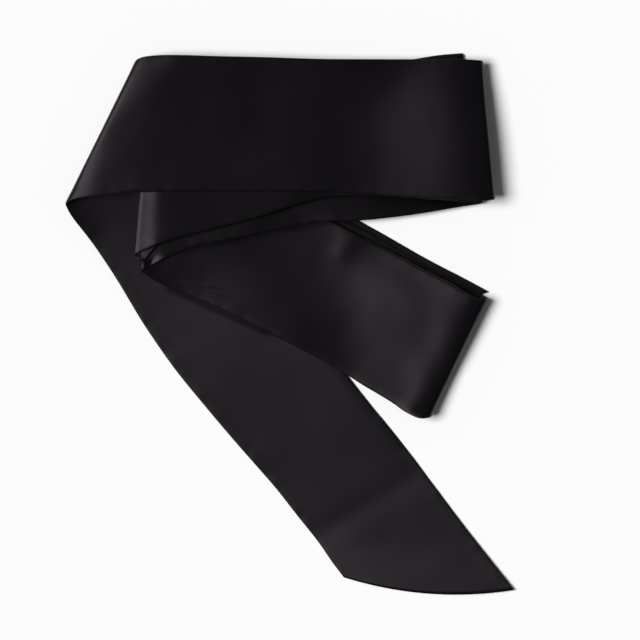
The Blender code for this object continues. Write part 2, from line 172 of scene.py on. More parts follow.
# How far each stretch is held off its bed by the spring of its folds and by its own soft waves. The first
# column is the distance along it. The others are the lifts at named places, each so far across the strip.
LIFT_COLUMNS = {
    "first_edge": 0.0, "quarter": 0.25, "middle": 0.5, "three_quarters": 0.75, "second_edge": 1.0,
}
LIFTS = {
    "tail": (
        (0, 0.25, 0.45, 0.7, 1.2, 1.6),
        (12, 0.1, 0.2, 0.4, 0.8, 1.15),
        (24, 0.0, 0.05, 0.1, 0.45, 0.75),
        (40, 0.0, 0.0, 0.0, 0.2, 0.35),
        (56, 0.0, 0.0, 0.0, 0.05, 0.2),
        (72, 0.0, 0.0, 0.0, 0.1, 0.4),
        (90, 0.0, 0.0, 0.0, 0.3, 0.8),
        (130, 0.0, 0.0, 0.0, 0.3, 0.8),
        (150, 0.0, 0.0, 0.0, 0.1, 0.3),
        (178, 0.0, 0.0, 0.0, 0.0, 0.0),
        (192, 0.3, 0.2, 0.0, 0.0, 0.0),
        (204, 0.7, 0.5, 0.0, 0.0, 0.0),
        (216, 1.15, 0.85, 0.0, 0.0, 0.0),
        (228, 1.65, 1.3, 0.1, 0.0, 0.0),
        (240, 2.3, 1.9, 0.35, 0.0, 0.0),
        (252, 3.0, 2.5, 0.8, 0.1, 0.0),
        (264, 3.95, 3.2, 1.5, 0.4, 0.1),
        (274, 5.0, 3.9, 2.3, 1.3, 0.8),
        (286, 6.1, 4.7, 3.3, 2.7, 2.2),
    ),
    "top": (
        (0, 3.7, 2.65, 1.7, 0.65, 0.2),
        (8, 3.05, 2.15, 1.1, 0.95, 1.3),
        (16, 1.85, 1.25, 0.5, 1.2, 2.4),
        (24, 0.8, 0.5, 0.35, 1.3, 2.9),
        (32, 0.4, 0.25, 0.35, 1.15, 2.85),
        (48, 0.4, 0.15, 0.3, 0.85, 2.45),
        (64, 0.4, 0.3, 0.5, 0.75, 2.1),
        (72, 0.5, 0.4, 0.6, 0.75, 2.0),
        (80, 0.6, 0.5, 0.65, 0.8, 2.05),
        (88, 0.6, 0.6, 0.7, 0.95, 2.15),
        (96, 0.65, 0.7, 0.75, 1.05, 2.25),
        (104, 0.7, 0.75, 0.8, 1.15, 2.35),
        (112, 0.8, 0.8, 0.9, 1.25, 2.45),
        (128, 0.9, 0.95, 1.1, 1.45, 2.55),
        (137, 0.95, 1.05, 1.2, 1.55, 2.55),
        (144, 1.15, 1.2, 1.4, 1.75, 2.55),
        (152, 1.65, 1.7, 1.9, 2.2, 2.7),
        (160, 2.2, 2.3, 2.55, 2.85, 3.05),
        (168, 2.85, 3.0, 3.3, 3.6, 3.6),
        (176, 3.5, 3.8, 4.05, 4.35, 4.25),
        (184, 4.1, 4.5, 4.75, 4.95, 4.75),
        (192, 4.4, 4.8, 5.0, 5.05, 4.75),
        (201, 4.25, 4.6, 4.75, 4.65, 4.3),
    ),
    "third": (
        (0, 0.4, 0.3, 0.3, 0.3, 0.3),
        (30, 0.6, 0.4, 0.4, 0.4, 0.4),
        (60, 0.5, 0.1, 0.0, 0.0, 0.0),
        (80, 0.6, 0.2, 0.0, 0.0, 0.0),
        (110, 0.9, 0.5, 0.4, 0.3, 0.2),
        (145, 1.2, 0.9, 0.9, 0.8, 0.8),
        (160, 1.4, 1.1, 1.1, 1.0, 1.0),
        (170, 1.5, 1.35, 1.3, 1.2, 1.2),
        (175, 1.5, 1.4, 1.4, 1.3, 1.3),
        (178, 1.0, 1.0, 1.0, 0.9, 0.9),
        (182, 0.1, 0.2, 0.2, 0.2, 0.2),
    ),
    "fourth": (
        (0, 0.0, 0.0, 0.0, 0.0, 0.0),
        (130, 0.0, 0.0, 0.0, 0.0, 0.0),
        (165, 0.3, 0.3, 0.3, 0.3, 0.3),
        (180, 0.3, 0.3, 0.3, 0.3, 0.3),
    ),
    "fifth": (
        (0, 0.1, 0.1, 0.1, 0.1, 0.1),
        (30, 0.4, 0.0, 0.0, 0.0, 0.0),
        (130, 0.5, 0.1, 0.0, 0.0, 0.0),
        (150, 0.5, 0.2, 0.1, 0.1, 0.1),
        (161, 0.5, 0.3, 0.2, 0.2, 0.2),
        (166, 0.4, 0.3, 0.2, 0.2, 0.2),
        (171, 0.0, 0.1, 0.1, 0.2, 0.2),
    ),
    "sixth": (
        (0, 3.7, 3.0, 2.9, 2.9, 2.9),
        (6, 3.5, 2.95, 2.85, 2.85, 2.8),
        (12, 3.2, 2.7, 2.6, 2.6, 2.6),
        (20, 2.3, 1.9, 2.05, 2.05, 2.0),
        (28, 1.0, 0.75, 1.45, 1.35, 1.2),
        (36, 0.4, 0.4, 1.05, 0.8, 0.6),
        (44, 0.6, 0.45, 0.75, 0.45, 0.35),
        (52, 1.0, 0.65, 0.5, 0.3, 0.3),
        (60, 1.4, 0.9, 0.35, 0.2, 0.3),
        (70, 1.7, 1.1, 0.2, 0.15, 0.3),
        (80, 2.0, 1.1, 0.1, 0.1, 0.3),
        (90, 2.15, 0.95, 0.05, 0.2, 0.8),
        (100, 2.15, 0.65, 0.15, 0.65, 1.15),
        (110, 1.65, 0.35, 0.35, 1.25, 1.5),
        (119, 1.4, 0.2, 0.85, 2.05, 2.15),
        (128, 1.25, 0.5, 1.55, 2.95, 3.0),
        (137, 1.7, 1.05, 2.3, 3.9, 3.85),
        (146, 2.65, 1.95, 3.25, 5.0, 4.75),
        (155, 4.0, 3.15, 4.4, 6.1, 5.65),
        (161, 5.05, 4.2, 5.25, 6.75, 6.35),
        (165, 5.85, 5.0, 5.8, 7.1, 6.8),
        (168, 6.4, 5.55, 6.15, 7.25, 7.05),
        (172, 6.85, 6.05, 6.4, 7.2, 7.05),
        (176, 6.75, 6.0, 6.2, 6.8, 6.75),
    ),
    "seventh": (
        (0, 0.3, 0.3, 0.3, 0.3, 0.3),
        (20, 0.5, 0.5, 0.5, 0.5, 0.5),
        (60, 0.2, 0.2, 0.2, 0.2, 0.2),
        (90, 0.0, 0.0, 0.0, 0.0, 0.0),
        (130, 0.0, 0.0, 0.0, 0.0, 0.0),
    ),
    "eighth": (
        (0, 0.0, 0.0, 0.0, 0.0, 0.0),
        (140, 0.0, 0.0, 0.0, 0.0, 0.0),
    ),
}

# How finely the lifts are read along a stretch, and over what reach they are averaged.
LIFT_STEP = 0.5
LIFT_EASE = 2.0

# Creases: on which stretch, the line of each seen from above, its height, which is below zero
# for a trough, its half width, and how softly it fades beyond the ends of its line. The last five run along
# the hems of the layers above them and deepen their shade.
CREASE_COLUMNS = ("stretch", "start_x", "start_y", "end_x", "end_y", "height", "reach", "fade")
CREASES = (
    ("tail", 14.0, -110.0, 62.0, -80.0, -0.22, 7.0, 12.0),
    ("fifth", -72.8, 26.5, -71.6, 33.0, -1.4, 1.6, 2.0),
    ("fifth", -67.5, 30.0, -64.5, 34.0, 0.5, 2.4, 2.5),
    ("sixth", -49.0, 15.3, -14.6, -1.8, 0.14, 0.9, 4.0),
    ("sixth", 32.5, 48.0, 28.0, 39.0, 0.35, 5.5, 7.0),
    ("sixth", -53.0, 21.6, -42.0, 19.8, 0.16, 0.9, 3.0),
    ("sixth", -49.0, 19.6, -38.0, 15.9, 0.16, 0.9, 3.0),
    ("tail", -62.0, 20.0, -15.0, -1.3, 0.60, 2.1, 5.0),
    ("fifth", -58.0, 46.0, -15.5, 57.0, 0.35, 1.5, 8.0),
    ("fifth", -15.5, 57.0, 5.0, 63.6, 0.35, 1.5, 8.0),
    ("sixth", -54.0, 39.8, -31.0, 45.0, 0.35, 1.8, 8.0),
    ("sixth", -31.0, 45.0, 14.5, 54.0, 0.35, 1.8, 8.0),
)

# Edges that roll down a little towards what lies below them: on which stretch, which edge, from what distance
# to what distance along it, how far the edge drops, and over what width. Then the length over which a roll
# sets in and ends.
ROLL_COLUMNS = ("stretch", "edge", "start", "end", "drop", "width")
EDGE_ROLLS = (
    ("top", "first", 24.0, 192.0, 0.85, 2.4),
    ("third", "first", 20.0, 174.0, 0.90, 2.8),
    ("fifth", "first", 20.0, 156.0, 0.85, 2.8),
    ("sixth", "first", 24.0, 172.0, 0.75, 1.7),
    ("sixth", "first", 30.0, 120.0, 0.40, 3.2),
    ("tail", "second", 66.0, 156.0, 0.80, 8.0),
    ("sixth", "second", 50.0, 172.0, 0.75, 1.7),
    ("seventh", "second", 0.0, 140.0, 0.70, 4.0),
)
ROLL_EASE = 10.0

# How far apart the rows of the fine mesh are along each stretch, the steps round each fold, and how often the
# rows are softened against their neighbours.
ROW_SPACING = {
    "tail": 1.0, "top": 1.0, "third": 1.0, "fourth": 2.0,
    "fifth": 1.2, "sixth": 1.0, "seventh": 1.6, "eighth": 1.6,
}
FOLD_STEPS = 24
SOFTEN_PASSES = 2

# Between which shares of a turn its plan passes from one stretch to the next, and over what length the slope
# of the stretches beside it is read.
TURN_START = 0.3
TURN_END = 0.7
SLOPE_STEP = 1.0

# The columns of the fine mesh, for a strip of this width: close together on the rounded edge, and then about
# a millimetre apart.
NOMINAL_WIDTH = 72.0
EDGE_COLUMNS = (0.0, 0.06, 0.2, 0.42, 0.75, 1.2, 1.8, 2.6, 3.5)
COLUMN_SPACING = 1.05

# Half the cloth's thickness in the field and along the seams, where the turned-in allowance lies, how wide
# the round of its edge is, how wide the allowance is, and how far on both sides of its end the thickness
# changes.
HALF_FIELD = 0.42
HALF_SEAM = 0.52
SEAM_ROUND = 1.3
ALLOWANCE = 5.5
ALLOWANCE_EASE = 2.0

# Over how many rows the slant of the rows is averaged for the strip's flat layout, and that layout's name.
SLANT_EASE = 6.0
FLAT_MAP = "flat_cloth"

# Small unevenness of the satin, as waves with seeded directions and phases: the shortest and longest wave,
# how far they turn from the strip's own line in degrees, their number, the height of the longest, and the
# reach from the edges within which they fade. Only the puckers beside the seams have a reach.
RIPPLE_COLUMNS = ("shortest", "longest", "turn", "number", "height", "reach")
FIELD_RIPPLE = (14.0, 46.0, 70.0, 26, 0.005, None)
SEAM_PUCKER = (6.0, 15.0, 25.0, 14, 0.012, 4.0)
RIPPLE_SEED = 11

# The satin's grain: the single floating threads, the slubs, and the wide patches of dye and polish. Each is
# a noise whose cells measure this much across the strip and along it, with this much detail. The dye and the
# polish follow the middle of its values, from the first share to the second.
FLOATS = (0.12, 1.6, 1.0)
SLUBS = (0.45, 9.0, 2.0)
PATCHES = (22.0, 45.0, 3.0)
NOISE_MIDDLE = (0.25, 0.75)

# How high the threads and the slubs stand.
FLOAT_HEIGHT = 0.004
SLUB_HEIGHT = 0.012

# The deepest and the lightest dye, and how far the dye goes from one to the other: its share in each patch,
# times its share in each slub.
DYE_DEEP = (0.0015, 0.0013, 0.0015, 1.0)
DYE_LIGHT = (0.0027, 0.0023, 0.0028, 1.0)
DYE_PATCHES = (0.3, 0.7)
DYE_SLUBS = (0.5, 1.5)

# The satin's roughness over the patches, and what the slubs add to it.
POLISH_PATCHES = (0.44, 0.46)
POLISH_SLUBS = (-0.015, 0.015)

# How far the highlight is drawn out across the threads, how strong it is, and its tint.
ANISOTROPY = 0.7
SPECULAR_LEVEL = 0.21
SPECULAR_TINT = (1.0, 0.86, 1.0, 1.0)

# The pieces, each from one cut in the strip to the next: its node, the stretches in which its first and its
# last cut lie, or None at the strip's ends, what it rests on, and its flat length, as measured along its
# middle. The flat width is that of the pressed strip.
PIECES = (
    ("tail", None, "tail", ("the surface",), 0.285),
    ("top_band", "tail", "third", ("upper_run", "middle_run", "tail"), 0.229),
    ("upper_run", "third", "fourth", ("upper_core",), 0.185),
    ("upper_core", "fourth", "fifth", ("middle_run",), 0.179),
    ("middle_run", "fifth", "sixth", ("lower_band", "tail"), 0.177),
    ("lower_band", "sixth", "seventh", ("lower_core", "tail"), 0.188),
    ("lower_core", "seventh", None, ("tail", "the surface"), 0.226),
)

# The floor: the side of its square, its colour, its roughness and its weak shine.
FLOOR_SIZE = 6.0
FLOOR_COLOUR = (0.94, 0.94, 0.94, 1.0)
FLOOR_ROUGHNESS = 0.9
FLOOR_SHINE = 0.1

# The key light stands to the left: its slant from straight above and its width in degrees, and its strength.
# Then the strength of the white room around.
KEY_SLANT = 32.0
KEY_WIDTH = 30.0
KEY_STRENGTH = 3.45
ROOM_STRENGTH = 0.10

# The camera, high above the scarf: where it stands, how wide its sensor is in millimetres, how much of the
# floor's width it sees, which is 640 pixels of 0.52 mm, and between which distances it sees.
CAMERA_PLACE = (0.0156, 0.00234, 3.0)
SENSOR_WIDTH = 36.0
VIEW_WIDTH = 0.3328
VIEW_START = 0.1
VIEW_END = 10.0


def fold_rows():
    """The table of folds as dictionaries."""
    return [dict(zip(FOLD_COLUMNS, values)) for values in FOLDS]


def fold_with(column, name):
    """The fold whose stretch before or after it is this one, or None."""
    return next((fold for fold in fold_rows() if fold[column] == name), None)


def depth_of(fold):
    """How far back from its outer line a fold's turn begins."""
    return WALL / 2 + fold["reach"]


def is_above(upper, lower):
    """Whether the first of two stretches lies above the second."""
    return LAID_ORDER.index(upper) > LAID_ORDER.index(lower)


def curve_through(stops, values, at):
    """Values along a smooth curve through the given values at the given stops."""
    slopes = np.gradient(values, stops, axis=0)
    left = np.clip(np.searchsorted(stops, at, side="right") - 1, 0, len(stops) - 2)
    step = (stops[left + 1] - stops[left])[:, None]
    part = (at - stops[left])[:, None] / step
    start_weight = (1 + 2 * part) * (1 - part) ** 2
    end_weight = part**2 * (3 - 2 * part)
    leave_weight = part * (1 - part) ** 2 * step
    arrive_weight = part**2 * (part - 1) * step
    return (
        start_weight * values[left]
        + end_weight * values[left + 1]
        + leave_weight * slopes[left]
        + arrive_weight * slopes[left + 1]
    )


def across_stops(count=None):
    """Where the columns lie across the strip, from 0 at its first edge to 1 at its second."""
    if count:
        return np.linspace(0.0, 1.0, count)
    half = NOMINAL_WIDTH / 2
    inner = np.linspace(EDGE_COLUMNS[-1], half, round((half - EDGE_COLUMNS[-1]) / COLUMN_SPACING) + 1)[1:]
    side = np.concatenate([EDGE_COLUMNS, inner]) / NOMINAL_WIDTH
    return np.concatenate([side, 1 - side[-2::-1]])


def eased(values, spacing, reach):
    """Values along a line, averaged with a soft window of this reach on both sides."""
    count = max(1, round(3 * reach / spacing))
    offsets = np.arange(-count, count + 1) * spacing
    window = np.exp(-0.5 * (offsets / reach) ** 2)
    padded = np.pad(values, count, mode="reflect", reflect_type="odd")
    return np.convolve(padded, window / window.sum(), mode="valid")


class Stretch:
    """A stretch of the strip between two folds: its outline from above, and its bed once it is laid."""

    def __init__(self, name):
        rows = list(STRETCHES[name])
        for fold in fold_rows():
            line = [fold[column] for column in SECTION_COLUMNS]
            if fold["after"] == name:
                rows.insert(0, line)
            if fold["before"] == name:
                rows.append(line)
        sections = np.array(rows)
        middle = (sections[:, 0:2] + sections[:, 2:4]) / 2
        steps = np.linalg.norm(np.diff(middle, axis=0), axis=1)
        self.name = name
        self.stops = np.concatenate([[0.0], np.cumsum(steps)])
        self.values = sections
        self.length = self.stops[-1]
        self.bed = None
        lifts = np.array(LIFTS[name], float)
        self.lift_stops = np.arange(0.0, self.length + LIFT_STEP, LIFT_STEP)
        curves = curve_through(lifts[:, 0], lifts[:, 1:], np.minimum(self.lift_stops, lifts[-1, 0]))
        self.lifts = [eased(curve, LIFT_STEP, LIFT_EASE) for curve in curves.T]

    def outline(self, distances, across):
        """Plan points of the rows at these distances along the stretch."""
        values = curve_through(self.stops, self.values, np.asarray(distances, float))
        first, second, bow = np.split(values[:, None, :], [2, 4], axis=2)
        across = across[None, :, None]
        chord = second - first
        sideways = np.concatenate([chord[..., 1:], -chord[..., :1]], axis=2)
        sideways /= np.linalg.norm(chord, axis=2, keepdims=True)
        return first + across * chord + 4 * across * (1 - across) * bow * sideways

    def rows(self, distances, across):
        """Rows of points along the middle of the cloth, as the stretch lies on its bed."""
        plan = self.outline(distances, across)
        along = np.array([np.interp(distances, self.lift_stops, lift) for lift in self.lifts])
        places = np.array(list(LIFT_COLUMNS.values()))
        lift = np.maximum(curve_through(places, along, across).T, 0.0)
        lift = lift + creased(self.name, plan) - rolled(self.name, distances, across, plan)
        height = read_field(self.bed, plan) + LAYER_GAP + WALL / 2 + lift
        return np.concatenate([plan, height[..., None]], axis=2)


def creased(name, plan):
    """How much the creases of a stretch raise it at plan points."""
    total = np.zeros(plan.shape[:2])
    for values in CREASES:
        crease = dict(zip(CREASE_COLUMNS, values))
        if crease["stretch"] != name:
            continue
        start = np.array([crease["start_x"], crease["start_y"]])
        line = np.array([crease["end_x"], crease["end_y"]]) - start
        length = np.linalg.norm(line)
        line /= length
        along = (plan - start) @ line
        aside = (plan - start) @ np.array([-line[1], line[0]])
        beyond = np.maximum(np.maximum(-along, along - length), 0.0)
        shape = np.exp(-((aside / crease["reach"]) ** 2) - (beyond / crease["fade"]) ** 2)
        total = total + crease["height"] * shape
    return total


def rolled(name, distances, across, plan):
    """How far the rolled edges of a stretch drop at each point."""
    distances = np.asarray(distances)
    width = np.linalg.norm(plan[:, -1] - plan[:, 0], axis=1)[:, None]
    total = np.zeros(plan.shape[:2])
    for values in EDGE_ROLLS:
        roll = dict(zip(ROLL_COLUMNS, values))
        if roll["stretch"] != name:
            continue
        share = across if roll["edge"] == "first" else 1 - across
        near = np.clip(1 - share[None, :] * width / roll["width"], 0.0, 1.0)
        ends = smooth_step(roll["start"], roll["start"] + ROLL_EASE, distances)
        ends = ends * (1 - smooth_step(roll["end"] - ROLL_EASE, roll["end"], distances))
        total = total + roll["drop"] * near**2 * ends[:, None]
    return total


def empty_field():
    """The bare surface. It lies one gap low, so that cloth laid straight on it touches the surface itself."""
    return np.full(FIELD_CELLS, -LAYER_GAP)


def read_field(field, plan):
    """Heights of the field at plan points, blended between the four nearest cells."""
    place = plan - np.array(FIELD_LOW)
    cell = np.floor(place).astype(int)
    part = place - cell
    i, j = cell[..., 0], cell[..., 1]
    u, v = part[..., 0], part[..., 1]
    near = (1 - u) * field[i, j] + u * field[i + 1, j]
    far = (1 - u) * field[i, j + 1] + u * field[i + 1, j + 1]
    return (1 - v) * near + v * far


def dense(rows):
    """A dense cloud of points on the facets between rows of points."""
    for axis, shape in ((0, (-1, 1, 1)), (1, (1, -1, 1))):
        count = rows.shape[axis]
        at = np.linspace(0, count - 1, (count - 1) * PRINT_FINENESS + 1)
        left = np.minimum(at.astype(int), count - 2)
        part = (at - left).reshape(shape)
        rows = (1 - part) * np.take(rows, left, axis) + part * np.take(rows, left + 1, axis)
    return rows.reshape(-1, 3)


def print_on(field, rows):
    """Raises the field to the top of a layer whose middle runs through these rows of points."""
    cloud = dense(rows)
    cell = np.round(cloud[:, :2] - np.array(FIELD_LOW)).astype(int)
    np.maximum.at(field, (cell[:, 0], cell[:, 1]), cloud[:, 2] + WALL / 2)


def widened(field, reach, stiffness):
    """The highest of each cell and its neighbours, which fall away with the square of their distance."""
    for axis in (0, 1):
        raised = field
        for shift in range(1, reach + 1):
            lowered = field - stiffness * shift**2
            raised = np.maximum(raised, np.roll(lowered, shift, axis))
            raised = np.maximum(raised, np.roll(lowered, -shift, axis))
        field = raised
    return field


def blurred(field, reach):
    """The mean over a square of cells."""
    for axis in (0, 1):
        total = sum(np.roll(field, shift, axis) for shift in range(-reach, reach + 1))
        field = total / (2 * reach + 1)
    return field


def bed_over(field):
    """The lowest surface that cloth of the drape radius can take over what the field holds."""
    bed = widened(field, DRAPE_REACH, 0.5 / DRAPE_RADIUS)
    bed = widened(bed, EASE_CELLS * EASE_PASSES, 0.0)
    for _ in range(EASE_PASSES):
        bed = blurred(bed, EASE_CELLS)
    return bed


def turn_rows(before, after, fold, across, steps):
    """Rows of points round a fold, between the two rows that it joins, whose slopes it carries on."""
    depth = depth_of(fold)
    reach = fold["reach"]
    near = before.rows([before.length - depth - SLOPE_STEP, before.length - depth], across)[..., 2]
    far = after.rows([depth, depth + SLOPE_STEP], across)[..., 2]
    start, start_slope = near[1], (near[1] - near[0]) / SLOPE_STEP
    end, end_slope = far[0], (far[1] - far[0]) / SLOPE_STEP
    rows = []
    for angle in np.linspace(0.0, math.pi, steps + 1)[1:-1]:
        out = reach * math.sin(angle) ** fold["roundness"]
        inset = depth - out
        turned = smooth_step(TURN_START, TURN_END, angle / math.pi)
        plan = (1 - turned) * before.outline([before.length - inset], across)[0]
        plan = plan + turned * after.outline([inset], across)[0]
        share = (1 + math.cos(angle)) / 2
        height = share * start + (1 - share) * end
        height = height + out * (start_slope * share**2 - end_slope * (1 - share) ** 2)
        rows.append(np.column_stack([plan, height]))
    return np.array(rows)


def spaced(low, high, spacing):
    """Distances from low to high, about one spacing apart."""
    count = max(1, round((high - low) / spacing))
    return np.linspace(low, high, count + 1)


def lay_the_strip():
    """Every stretch with its bed, laid one on the other from the surface up."""
    stretches = {name: Stretch(name) for name in STRETCHES}
    field = empty_field()
    across = across_stops(PRINT_COLUMNS)
    for name in LAID_ORDER:
        stretch = stretches[name]
        stretch.bed = bed_over(field)
        came, goes = fold_with("after", name), fold_with("before", name)
        low = depth_of(came) if came else 0.0
        high = stretch.length - (depth_of(goes) if goes else 0.0)
        print_on(field, stretch.rows(spaced(low, high, PRINT_SPACING), across))
        if came and is_above(name, came["before"]):
            turn = turn_rows(stretches[came["before"]], stretch, came, across, PRINT_FOLD_STEPS)
            print_on(field, turn)
        if goes and is_above(name, goes["after"]):
            turn = turn_rows(stretch, stretches[goes["after"]], goes, across, PRINT_FOLD_STEPS)
            print_on(field, turn)
    return stretches


def whole_strip(stretches):
    """The fine rows of the whole strip in order, and the row at which each fold's lower stretch is cut."""
    across = across_stops()
    rows, cuts, count = [], {}, 0
    for name in STRIP_ORDER:
        stretch = stretches[name]
        came, goes = fold_with("after", name), fold_with("before", name)
        stops = [depth_of(came) if came else 0.0]
        cut_after_first = came and not is_above(name, came["before"])
        if cut_after_first:
            stops.append(stops[0] + FOLD_LIP)
        last = stretch.length - (depth_of(goes) if goes else 0.0)
        cut_before_last = goes and not is_above(name, goes["after"])
        if cut_before_last:
            stops.append(last - FOLD_LIP)
        stops.append(last)
        distances = [np.array([stops[0]])]
        for low, high in zip(stops[:-1], stops[1:]):
            distances.append(spaced(low, high, ROW_SPACING[name])[1:])
        sizes = np.cumsum([len(d) for d in distances]) + count
        if cut_after_first:
            cuts[name] = sizes[1] - 1
        if cut_before_last:
            cuts[name] = sizes[-2] - 1
        laid = stretch.rows(np.concatenate(distances), across)
        rows.append(laid)
        count += len(laid)
        if goes:
            turn = turn_rows(stretch, stretches[goes["after"]], goes, across, FOLD_STEPS)
            rows.append(turn)
            count += len(turn)
    return np.concatenate(rows), cuts


def softened(rows, passes):
    """Rows of the strip with small kinks along it eased, its ends kept."""
    for _ in range(passes):
        middle = rows[1:-1] / 2 + (rows[:-2] + rows[2:]) / 4
        rows = np.concatenate([rows[:1], middle, rows[-1:]])
    return rows


def normals_of(rows):
    """The unit normal of the strip at each of its points, up on the tail."""
    along = np.gradient(rows, axis=0)
    over = np.gradient(rows, axis=1)
    normal = np.cross(over, along)
    return normal / np.linalg.norm(normal, axis=2, keepdims=True)


def smooth_step(low, high, x):
    """0 below low, 1 above high, and a smooth rise between."""
    t = np.clip((x - low) / (high - low), 0.0, 1.0)
    return t * t * (3 - 2 * t)


def half_thickness(rows):
    """Half the cloth's thickness at each point: round at its edges, fuller over the seam allowance."""
    across = across_stops()
    width = np.linalg.norm(rows[:, -1] - rows[:, 0], axis=1)[:, None]
    edge = np.minimum(across, 1 - across)[None, :] * width
    inset = np.clip(1 - edge / SEAM_ROUND, 0.0, 1.0)
    roundness = np.sqrt(1 - inset**2)
    seam = 1 - smooth_step(ALLOWANCE - ALLOWANCE_EASE, ALLOWANCE + ALLOWANCE_EASE, edge)
    return roundness * (HALF_FIELD + (HALF_SEAM - HALF_FIELD) * seam)


def flat_layout(rows):
    """Where each point lies on the strip when it is spread out flat: across it and along it."""
    middle = rows[:, rows.shape[1] // 2]
    lengths = np.concatenate([[0.0], np.cumsum(np.linalg.norm(np.diff(middle, axis=0), axis=1))])
    thread = np.gradient(middle, axis=0)
    thread /= np.linalg.norm(thread, axis=1, keepdims=True)
    chord = rows[:, -1] - rows[:, 0]
    slant = eased((chord * thread).sum(axis=1), spacing=1.0, reach=SLANT_EASE)
    width = np.sqrt((chord**2).sum(axis=1) - slant**2)
    across = across_stops()[None, :]
    along = lengths[:, None] + (across - 0.5) * slant[:, None]
    return np.stack([across * width[:, None], along], axis=2)


def rippled(layout):
    """How far the satin stands off its smooth form at each point, from seeded waves over its flat layout."""
    random = np.random.default_rng(RIPPLE_SEED)
    edge = np.minimum(layout[..., 0], layout[:, -1:, 0] - layout[..., 0])
    total = np.zeros(layout.shape[:2])
    for values in (FIELD_RIPPLE, SEAM_PUCKER):
        ripple = dict(zip(RIPPLE_COLUMNS, values))
        waves = np.zeros(layout.shape[:2])
        for _ in range(ripple["number"]):
            length = ripple["shortest"] * (ripple["longest"] / ripple["shortest"]) ** random.random()
            turn = math.radians(random.uniform(-ripple["turn"], ripple["turn"]))
            phase = random.uniform(0.0, 2 * math.pi)
            along = layout[..., 0] * math.sin(turn) + layout[..., 1] * math.cos(turn)
            waves += np.sin(2 * math.pi * along / length + phase) * length / ripple["longest"]
        if ripple["reach"]:
            waves *= np.exp(-((edge / ripple["reach"]) ** 2))
        total += ripple["height"] * waves
    return total


def skin_of(rows, half):
    """The cloth's whole skin: at each row, a ring over the upper face and back under the lower one."""
    shift = normals_of(rows) * half[..., None]
    return np.concatenate([rows + shift, (rows - shift)[:, -2:0:-1]], axis=1)


def skin_normals(skin):
    """The unit normal of the skin at each of its points, and zero at the tip's two corners.

    Both faces meet there in one point, and zero stands for the normal that the mesh gives to it.
    """
    along = np.gradient(skin, axis=0)
    around = np.roll(skin, -1, axis=1) - np.roll(skin, 1, axis=1)
    normal = np.cross(around, along)
    length = np.linalg.norm(normal, axis=2, keepdims=True)
    return np.divide(normal, length, out=np.zeros_like(normal), where=length > 0)


def add_piece(name, skin, normal, layout, tip):
    """One piece of the cloth as a closed mesh, shaded as part of the whole strip, its flat layout as UV map.

    Caps close its ends. The strip's tip has none, as both faces of the cloth share one row of points there.
    """
    count, ring = skin.shape[:2]
    width = layout.shape[1]
    layout = np.concatenate([layout, layout[:, -2:0:-1]], axis=1) * MILLIMETRE
    at = np.arange(count * ring).reshape(count, ring)
    point_at = at.copy()
    if tip:
        point_at[0, width:] = point_at[0, width - 2:0:-1]
    after = np.roll(at, -1, axis=1)
    corners = [np.stack([after[:-1], after[1:], at[1:], at[:-1]], axis=2).reshape(-1, 4)]
    shading = [normal.reshape(-1, 3)[corners[0]]]
    for row, side in ((0, -1), (count - 1, 1)):
        if row == 0 and tip:
            continue
        upper = at[row, :width]
        lower = np.concatenate([at[row, :1], at[row, :width - 2:-1]])
        cap = np.stack([upper[:-1], upper[1:], lower[1:], lower[:-1]], axis=1)[:, ::side]
        thread = (skin[row] - skin[row - side]).mean(axis=0)
        corners.append(cap)
        shading.append(np.broadcast_to(thread / np.linalg.norm(thread), cap.shape + (3,)))
    corners = np.concatenate(corners)
    shading = np.concatenate(shading)
    faces = point_at.reshape(-1)[corners]
    flat_places = layout.reshape(-1, 2)[corners]
    return make_mesh(name, skin.reshape(-1, 3) * MILLIMETRE, faces, flat_places, shading)


def make_mesh(name, points, faces, flat_places, shading):
    """A smooth mesh object from points, faces, and the flat place and the normal of each face's corners.

    The outermost faces of a cap name a point twice, and become triangles. Points in no face are left out.
    """
    differ = (faces != np.roll(faces, 1, axis=1)).all(axis=1)
    whole = [face for face, kept in zip(faces.tolist(), differ) if kept]
    ends = faces[~differ]
    ends_kept = [np.flatnonzero(row != np.roll(row, 1)) for row in ends]
    corner_places = [flat_places[differ].reshape(-1, 2)]
    corner_normals = [shading[differ].reshape(-1, 3)]
    for face, kept, place, normal in zip(ends, ends_kept, flat_places[~differ], shading[~differ]):
        whole.append(face[kept].tolist())
        corner_places.append(place[kept])
        corner_normals.append(normal[kept])
    used = np.zeros(len(points), bool)
    used[faces.reshape(-1)] = True
    new_at = np.cumsum(used) - 1
    mesh = bpy.data.meshes.new(name)
    mesh.from_pydata(points[used].tolist(), [], [[int(new_at[k]) for k in face] for face in whole])
    layer = mesh.uv_layers.new(name=FLAT_MAP)
    layer.data.foreach_set("uv", np.concatenate(corner_places).astype(np.float32).ravel())
    mesh.shade_smooth()
    mesh.normals_split_custom_set(np.concatenate(corner_normals).tolist())
    piece = bpy.data.objects.new(name, mesh)
    bpy.context.scene.collection.objects.link(piece)
    return piece


def cloth_noise(nodes, links, place, grain):
    """Noise over the flat cloth with the cells and the detail of this grain."""
    across, along, detail = grain
    mapping = nodes.new("ShaderNodeMapping")
    mapping.inputs["Scale"].default_value = (1 / (across * MILLIMETRE), 1 / (along * MILLIMETRE), 1.0)
    links.new(place, mapping.inputs["Vector"])
    noise = nodes.new("ShaderNodeTexNoise")
    noise.inputs["Scale"].default_value = 1.0
    noise.inputs["Detail"].default_value = detail
    links.new(mapping.outputs["Vector"], noise.inputs["Vector"])
    return noise.outputs["Fac"]


